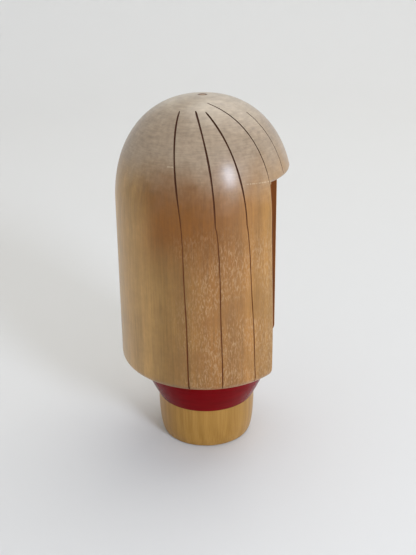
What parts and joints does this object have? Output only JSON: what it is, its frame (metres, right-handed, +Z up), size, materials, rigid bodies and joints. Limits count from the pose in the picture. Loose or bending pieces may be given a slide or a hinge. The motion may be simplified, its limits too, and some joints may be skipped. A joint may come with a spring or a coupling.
{
  "type": "kokeshi doll",
  "caption": "Turned wooden doll with a domed block of long carved hair open at the front, a head that turns, a red flared collar and a plain foot.",
  "frame": {"origin": "centre of the foot's flat underside, on the surface that the doll stands on", "axes": "+Z up along the turning axis, -Y out of the face, +X to the doll's left"},
  "size_m": [0.0808, 0.079, 0.1664],
  "materials": {
    "hair_wood": "clear varnished turned hardwood with burnt carved lines",
    "plug_wood": "clear varnished end grain",
    "face_wood": "pale waxed wood with a painted face",
    "kimono_paint": "brown stained and painted wood, satin varnish",
    "pin_wood": "bare turned dowel",
    "red_lacquer": "deep red gloss lacquer on wood",
    "foot_wood": "honey-coloured clear varnished wood"
  },
  "bodies": {
    "standing_body": {"kimono_body": "kimono_paint", "neck_pin": "pin_wood", "red_collar": "red_lacquer", "foot": "foot_wood"},
    "turning_head": {"hair_block": "hair_wood", "crown_plug": "plug_wood", "head": "face_wood"}
  },
  "joints": [
    {"name": "head_turn", "type": "hinge", "parent": "standing_body", "child": "turning_head", "pos_m": [0, 0, 0.087], "axis": [0, 0, 1], "continuous": true}
  ]
}
